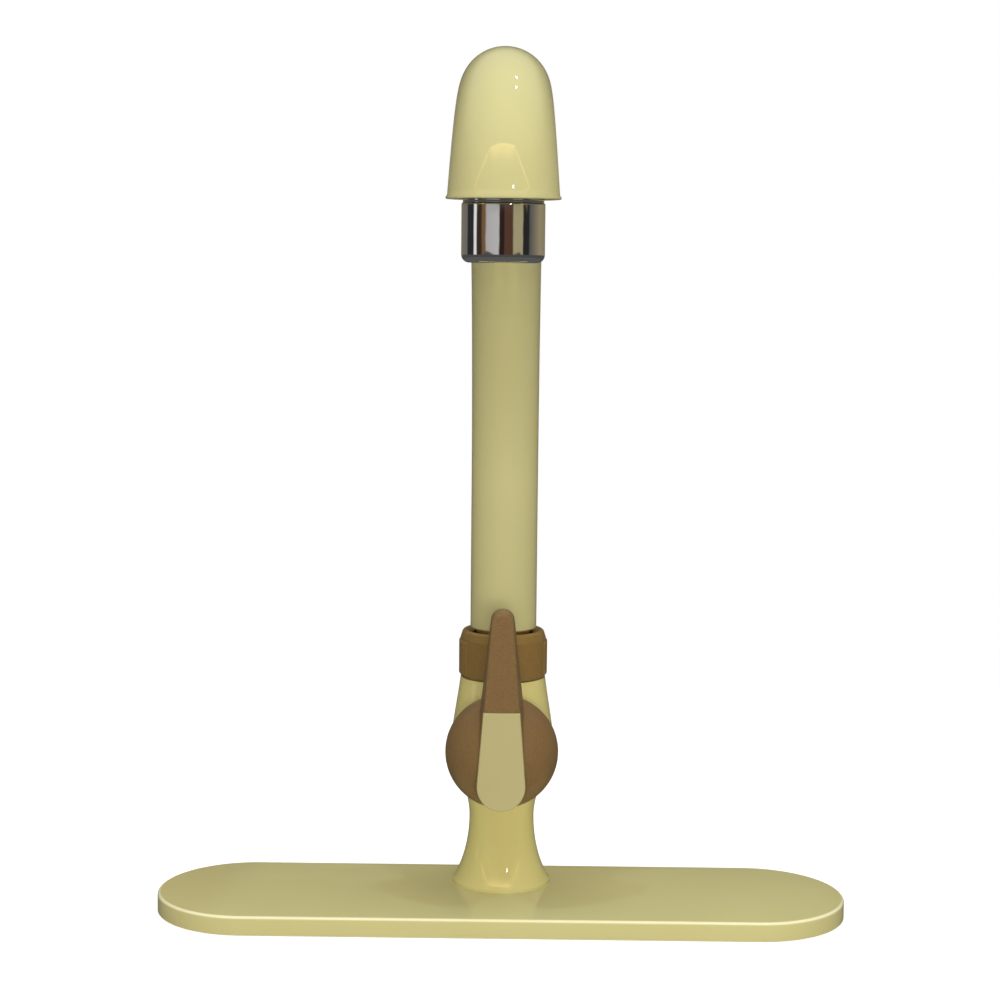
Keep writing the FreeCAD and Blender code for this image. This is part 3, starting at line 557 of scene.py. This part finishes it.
def paintEdgeHighlight(finish, bottom, top, colour, fade):
    # a painted highlight: the paint turns paler between two heights, along the rounded edge
    tree = finish.node_tree
    shader = tree.nodes["Principled BSDF"]
    painted = shader.inputs["Base Color"].links[0].from_socket
    place = tree.nodes.new("ShaderNodeTexCoord").outputs["Object"]
    parts = tree.nodes.new("ShaderNodeSeparateXYZ")
    tree.links.new(place, parts.inputs["Vector"])
    share = addRange(tree, parts.outputs["Z"], bottom, top, 0.0, 1.0)
    band = addRamp(tree, share, [(position, (level, level, level)) for position, level in fade])
    tree.links.new(addBlend(tree, band, painted, colour), shader.inputs["Base Color"])


def makeDeckPlate(shape):
    low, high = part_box("deck_plate")
    y = (low[1] + high[1]) / 2
    width = high[1] - low[1]
    height = high[2] - low[2]
    slide = (high[0] - low[0] - width) / 2
    piece = startRing("deckPlateCover", width / 2, (0, y, high[2]), shape["sides"], "NGON")
    for side in (-1, 1):
        selectPoints(piece, lambda place: place.x * side > touching)
        bpy.ops.transform.translate(value=(side * slide, 0, 0))
        leaveEdit()
    startEdit(piece)
    bpy.ops.mesh.extrude_region_move(TRANSFORM_OT_translate={"value": (0, 0, -height)})
    bpy.ops.mesh.select_mode(type="FACE")
    bpy.ops.mesh.inset(thickness=shape["skin"] * mm, depth=0)
    hollow = (0, 0, height - shape["skin"] * mm)
    bpy.ops.mesh.extrude_region_move(TRANSFORM_OT_translate={"value": hollow})
    leaveEdit()
    selectEdges(piece, lambda one, other: min(one.z, other.z) > high[2] - touching)
    bpy.ops.mesh.bevel(offset=shape["edge"] * mm, segments=shape["edgeSegments"], profile=0.5)
    leaveEdit()
    clearSelection()
    bpy.ops.mesh.primitive_cylinder_add(vertices=shape["holeSides"],
                                        radius=shape["holeRadius"] * mm,
                                        depth=shape["cutterHeight"] * mm)
    carve(piece, bpy.context.object)
    finishMesh(piece)
    # the plate's rounded top edge gets a painted highlight, a band of paler paint
    paintEdgeHighlight(creamPlate, high[2] - shape["edge"] * mm, high[2], shape["edgeHighlightColour"],
              shape["edgeHighlightFade"])
    piece.data.materials.append(creamPlate)
    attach(piece, "mixer_body")
    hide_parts("deck_plate")


makeDeckPlate(plateShape)
print("deck plate moulded")


# collar: a grip nut with a dished top and two raised pads

collarShape = {"radius": 16.5, "foot": 1.2, "chamferHeight": 3.3, "chamferWidth": 0.6,
               "chamferSoft": 0.15, "chamferStart": 0.05, "shoulder": 1.5,
               "shoulderTurn": (5, 90), "roundSteps": 6, "rimWidth": 2.0, "rimSoft": 0.1,
               "rimSlope": (0.15, 0.08), "mouth": 11.6, "dish": 1.4, "web": 2.9, "bore": 14.7,
               "padRise": 0.5, "padAngle": 56.0, "padTurn": 8.0, "padMargin": 1.3,
               "padFoot": 0.4, "padSoft": 0.45, "padSegments": 4, "wallSlack": 0.1,
               "sides": 180}


def makeCollar(shape):
    low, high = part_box("collar_nut")
    bottom = low[2] / mm
    top = high[2] / mm
    radius = shape["radius"]
    bore = shape["bore"]
    mouth = shape["mouth"]
    foot = shape["foot"]
    shoulder = shape["shoulder"]
    rimSoft = shape["rimSoft"]
    rim = radius - shape["rimWidth"]
    edge = radius - shape["chamferWidth"]
    chamferZ = top - shape["chamferHeight"]
    dishZ = top - shape["dish"]
    webZ = top - shape["web"]
    slopeIn, slopeDown = shape["rimSlope"]
    padLow = bottom + shape["padMargin"]
    padHigh = chamferZ - shape["padMargin"] / 2
    rings = [(bore, bottom)]
    rings += roundedCorner(radius - foot, bottom + foot, foot, -90, 0, shape["roundSteps"])
    rings += [(radius, padLow + shape["padFoot"]), (radius, padHigh),
              (radius, chamferZ - shape["chamferSoft"]),
              (radius - shape["chamferStart"], chamferZ + shape["chamferSoft"])]
    rings += roundedCorner(edge - shoulder, top - shoulder, shoulder, *shape["shoulderTurn"],
                           shape["roundSteps"])
    rings += [(rim + rimSoft, top), (rim - slopeIn, top - slopeDown), (mouth + rimSoft, dishZ),
              (mouth, dishZ - rimSoft), (mouth, webZ), (bore, webZ), (bore, bottom)]
    piece = latheUp("gripCollar", inMetres(rings), 0, shape["sides"])
    finishMesh(piece)

    def onPad(face):
        place = face.center
        reach = math.hypot(place.x, place.y)
        onWall = reach >= (radius - shape["wallSlack"]) * mm
        if not onWall or not padLow * mm < place.z < padHigh * mm:
            return False
        angle = math.degrees(math.atan2(place.y, place.x)) - shape["padTurn"]
        away = min(abs((angle - middle + 180) % 360 - 180) for middle in (0, 180))
        return away < shape["padAngle"] / 2

    selectFaces(piece, onPad)
    bpy.ops.mesh.extrude_region_move(TRANSFORM_OT_translate={"value": (0, 0, 0)})
    rise = (radius + shape["padRise"]) / radius
    padMiddle = (0, 0, (padLow + padHigh) / 2 * mm)
    bpy.ops.transform.resize(value=(rise, rise, 1), center_override=padMiddle)
    bpy.ops.mesh.select_mode(type="EDGE")
    bpy.ops.mesh.region_to_loop()
    bpy.ops.mesh.bevel(offset=shape["padSoft"] * mm, segments=shape["padSegments"], profile=0.5,
                       clamp_overlap=True)
    leaveEdit()
    finishMesh(piece)
    piece.data.materials.append(brownCollar)
    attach(piece, "mixer_body")
    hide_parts("collar_nut")


makeCollar(collarShape)
print("collar turned")


# floor: lit and shadowed like any floor near the object, and plain white further out. In
# reflections it is almost all one dim tone, like the room in front of the object

floorLook = {"size": 8.0, "drop": 0.0002, "colour": (0.50, 0.50, 0.49), "roughness": 0.7,
             "specular": 0.2, "glow": 0.74, "fadeStart": 0.2, "fadeEnd": 0.6,
             "mirroredShare": 0.92, "mirroredLevel": 0.08}


def makeFloor(look):
    clearSelection()
    bpy.ops.mesh.primitive_plane_add(size=look["size"], location=(0, 0, -look["drop"]))
    floor = bpy.context.object
    floor.name = "paleFloor"
    settle(floor)
    finish, tree, shader, place = newFinish("paleFloor")
    shader.inputs["Base Color"].default_value = (*look["colour"], 1)
    shader.inputs["Roughness"].default_value = look["roughness"]
    shader.inputs["Specular IOR Level"].default_value = look["specular"]
    rays = tree.nodes.new("ShaderNodeLightPath").outputs
    mirrored = rays["Is Glossy Ray"]
    seen = addMath(tree, "MAXIMUM", rays["Is Camera Ray"], rays["Is Transmission Ray"])
    glowing = tree.nodes.new("ShaderNodeEmission")
    glow = addMath(tree, "MULTIPLY", seen, look["glow"])
    tree.links.new(glow, glowing.inputs["Strength"])
    lit = tree.nodes.new("ShaderNodeAddShader")
    tree.links.new(shader.outputs["BSDF"], lit.inputs[0])
    tree.links.new(glowing.outputs["Emission"], lit.inputs[1])

    reach = tree.nodes.new("ShaderNodeVectorMath")
    reach.operation = "LENGTH"
    tree.links.new(place, reach.inputs[0])
    fade = addRange(tree, reach.outputs["Value"], look["fadeStart"], look["fadeEnd"], 0.0, 1.0,
                    smooth=True)
    inMirrors = addMath(tree, "MULTIPLY", mirrored, look["mirroredShare"])
    further = addMath(tree, "MAXIMUM", fade, inMirrors)
    whiteShare = addMath(tree, "MULTIPLY", further, addMath(tree, "MAXIMUM", seen, mirrored))
    white = tree.nodes.new("ShaderNodeEmission")
    whiteLevel = addRange(tree, mirrored, 0.0, 1.0, 1.0, look["mirroredLevel"])
    tree.links.new(whiteLevel, white.inputs["Strength"])
    surface = addShaderMix(tree, whiteShare, lit.outputs["Shader"], white.outputs["Emission"])
    tree.links.new(surface, tree.nodes["Material Output"].inputs["Surface"])
    floor.data.materials.append(finish)


makeFloor(floorLook)


# what the gloss mirrors, going round from behind on the left (-180) over the front (0) to
# behind on the right
roomRound = [(-180, (0.24, 0.20, 0.13)), (-118, (0.18, 0.17, 0.15)), (-112, (0.03, 0.03, 0.03)),
             (-90, (0.03, 0.03, 0.03)), (-86, (0.9, 0.9, 0.9)), (-80, (0.9, 0.9, 0.9)),
             (-76, (0.04, 0.03, 0.02)), (-62, (0.05, 0.03, 0.02)), (-59, (0.20, 0.11, 0.05)),
             (-51, (0.20, 0.11, 0.05)), (-46, (0.50, 0.49, 0.47)), (-12, (0.56, 0.55, 0.53)),
             (-9, (0.03, 0.018, 0.014)), (2, (0.03, 0.018, 0.014)), (5, (0.11, 0.05, 0.032)),
             (26, (0.10, 0.048, 0.03)), (29, (0.42, 0.37, 0.21)), (55, (0.42, 0.37, 0.21)),
             (58, (0.025, 0.025, 0.025)), (75, (0.025, 0.025, 0.025)),
             (79, (0.11, 0.105, 0.10)), (120, (0.34, 0.29, 0.17)), (150, (0.28, 0.24, 0.15)),
             (180, (0.24, 0.20, 0.13))]

# directions are parts of a unit vector: "wallTop", "ceilingFrom" and "glowFoot" are heights,
# "overheadTurn" goes from behind to the front, and the glow lies between measures across and
# below the slanting line where the ceiling starts
roomLook = {"fill": 0.33, "fillColour": (1.0, 0.88, 0.66), "wallTop": (0.08, 0.20),
            "wallColour": (0.13, 0.11, 0.08), "overheadTurn": (-0.35, 0.1),
            "ceilingBehind": (0.55, 0.53, 0.46), "ceilingInFront": (0.34, 0.31, 0.26),
            "ceilingFrom": (0.38, 0.62), "glowColour": (6.5, 4.1, 1.3), "glowAside": 0.055,
            "ceilingLine": 0.99, "slantStart": 1.427, "slantFall": 1.155,
            "glowStarts": (-0.004, 0.008), "lineEnds": (0.02, 0.045), "patchEnds": (0.02, 0.36),
            "patchSides": (0.32, 0.42), "patchLevel": 0.7, "glowFoot": (0.08, 0.34)}


def makeWorld(look, room):
    # white to the camera, an even warm fill for the light, and a room for the gloss
    world = bpy.data.worlds.new("studio")
    bpy.context.scene.world = world
    world.use_nodes = True
    tree = world.node_tree
    backdrop = tree.nodes["Background"]
    backdrop.inputs["Color"].default_value = (1, 1, 1, 1)
    backdrop.inputs["Strength"].default_value = 1.0
    fill = tree.nodes.new("ShaderNodeBackground")
    fill.inputs["Color"].default_value = (*look["fillColour"], 1)
    fill.inputs["Strength"].default_value = look["fill"]

    coords = tree.nodes.new("ShaderNodeTexCoord")
    parts = tree.nodes.new("ShaderNodeSeparateXYZ")
    tree.links.new(coords.outputs["Generated"], parts.inputs["Vector"])
    height = parts.outputs["Z"]
    towards = addMath(tree, "MULTIPLY", parts.outputs["Y"], -1.0)
    around = addMath(tree, "ARCTAN2", parts.outputs["X"], towards)
    share = addRange(tree, around, -math.pi, math.pi, 0.0, 1.0)
    wall = addRamp(tree, share, [((angle + 180) / 360, colour) for angle, colour in room])

    def smooth(value, reach, low=0.0, high=1.0):
        return addRange(tree, value, reach[0], reach[1], low, high, smooth=True)

    upper = addBlend(tree, smooth(height, look["wallTop"]), wall, look["wallColour"])
    overhead = addBlend(tree, smooth(towards, look["overheadTurn"]), look["ceilingBehind"],
                        look["ceilingInFront"])
    ceiling = addBlend(tree, smooth(height, look["ceilingFrom"]), upper, overhead)

    # the lamplit top of the wall in front, just under the line where the ceiling starts
    across = addMath(tree, "ABSOLUTE", addMath(tree, "ADD", parts.outputs["X"], look["glowAside"]))
    fall = addMath(tree, "MULTIPLY", across, look["slantFall"])
    slant = addMath(tree, "SUBTRACT", look["slantStart"], fall)
    slant = addMath(tree, "MINIMUM", look["ceilingLine"], slant)
    below = addMath(tree, "SUBTRACT", addMath(tree, "MULTIPLY", towards, slant), height)
    starts = smooth(below, look["glowStarts"])
    line = addMath(tree, "MULTIPLY", starts, smooth(below, look["lineEnds"], 1.0, 0.0))
    patch = addMath(tree, "MULTIPLY", smooth(below, look["patchEnds"], 1.0, 0.0),
                    smooth(across, look["patchSides"], look["patchLevel"], 0.0))
    glowing = addMath(tree, "MAXIMUM", line, addMath(tree, "MULTIPLY", starts, patch))
    inFront = addMath(tree, "MULTIPLY", glowing, smooth(height, look["glowFoot"]))
    walls = tree.nodes.new("ShaderNodeBackground")
    tree.links.new(addBlend(tree, inFront, ceiling, look["glowColour"]), walls.inputs["Color"])

    rays = tree.nodes.new("ShaderNodeLightPath").outputs
    unseen = addShaderMix(tree, rays["Is Glossy Ray"], fill.outputs["Background"],
                          walls.outputs["Background"])
    direct = addMath(tree, "MAXIMUM", rays["Is Camera Ray"], rays["Is Transmission Ray"])
    surface = addShaderMix(tree, direct, unseen, backdrop.outputs["Background"])
    tree.links.new(surface, tree.nodes["World Output"].inputs["Surface"])


makeWorld(roomLook, roomRound)


# lamps: places and sizes in metres, power in watts. Only the small spots show in the gloss
lampNotes = [
    {"name": "keyLamp", "place": (0.16, -1.55, 0.22), "aim": (0, -0.05, 0.16),
     "size": (0.7, 0.4), "power": 12.2, "colour": (1.0, 0.95, 0.82), "mirrored": False},
    {"name": "ceilingPanel", "place": (0, -0.25, 1.6), "aim": (0, -0.06, 0.1),
     "size": (1.6, 1.6), "power": 16.5, "colour": (1.0, 0.95, 0.85), "mirrored": False},
    {"name": "coolLampLeft", "place": (-0.65, -0.42, 1.5), "aim": (0, -0.04, 0.05),
     "size": (0.045, 0.045), "power": 3.0, "colour": (0.55, 0.82, 1.0), "mirrored": False},
    {"name": "coolLampRight", "place": (0.55, -0.42, 1.5), "aim": (0, -0.04, 0.05),
     "size": (0.045, 0.045), "power": 3.0, "colour": (0.55, 0.82, 1.0), "mirrored": False},
    {"name": "ceilingSpotLeft", "place": (0.34, 0.20, 1.5), "aim": (0, -0.1, 0.2),
     "size": (0.05, 0.05), "power": 0.3, "colour": (1, 1, 1), "mirrored": True},
    {"name": "ceilingSpotRight", "place": (0.36, -0.05, 1.5), "aim": (0, -0.1, 0.2),
     "size": (0.05, 0.05), "power": 0.3, "colour": (1, 1, 1), "mirrored": True},
    {"name": "frontSpot", "place": (0.42, -1.30, 0.55), "aim": (0, -0.1, 0.25),
     "size": (0.07, 0.10), "power": 0.5, "colour": (1, 1, 1), "mirrored": True}]


def makeLamp(notes):
    data = bpy.data.lights.new(notes["name"], "AREA")
    data.shape = "RECTANGLE"
    data.size, data.size_y = notes["size"]
    data.energy = notes["power"]
    data.color = notes["colour"]
    lamp = bpy.data.objects.new(notes["name"], data)
    bpy.context.scene.collection.objects.link(lamp)
    place = Vector(notes["place"])
    lamp.location = place
    lamp.rotation_euler = (Vector(notes["aim"]) - place).to_track_quat("-Z", "Y").to_euler()
    lamp.visible_camera = False
    lamp.visible_glossy = notes["mirrored"]


for notes in lampNotes:
    makeLamp(notes)


# where the photograph was taken from: angles in degrees, distances in metres, the sensor's
# width in millimetres, and the focal length in pixels of a square picture
cameraSettings = {"turn": 0.36, "pitch": 6.73, "roll": 0.55, "distance": 0.7995,
                  "height": 0.2509, "aside": 0.126, "focal": 2100.0, "picture": 1000.0,
                  "sensor": 36.0}


def makeCamera(settings):
    data = bpy.data.cameras.new("photoCamera")
    data.sensor_width = settings["sensor"]
    data.lens = settings["sensor"] * settings["focal"] / settings["picture"]
    camera = bpy.data.objects.new("photoCamera", data)
    bpy.context.scene.collection.objects.link(camera)
    turn = math.radians(settings["turn"])
    place = Vector((math.sin(turn), -math.cos(turn), 0)) * settings["distance"]
    place.z = settings["height"]
    heading = turn + math.radians(settings["aside"])
    pitch = math.radians(settings["pitch"])
    level = math.cos(pitch)
    look = Vector((-math.sin(heading) * level, math.cos(heading) * level, -math.sin(pitch)))
    roll = Quaternion((0, 0, 1), math.radians(settings["roll"]))
    camera.location = place
    camera.rotation_mode = "QUATERNION"
    camera.rotation_quaternion = look.to_track_quat("-Z", "Y") @ roll
    bpy.context.scene.camera = camera


makeCamera(cameraSettings)
bpy.context.scene.view_settings.view_transform = "Standard"
print("stage ready")
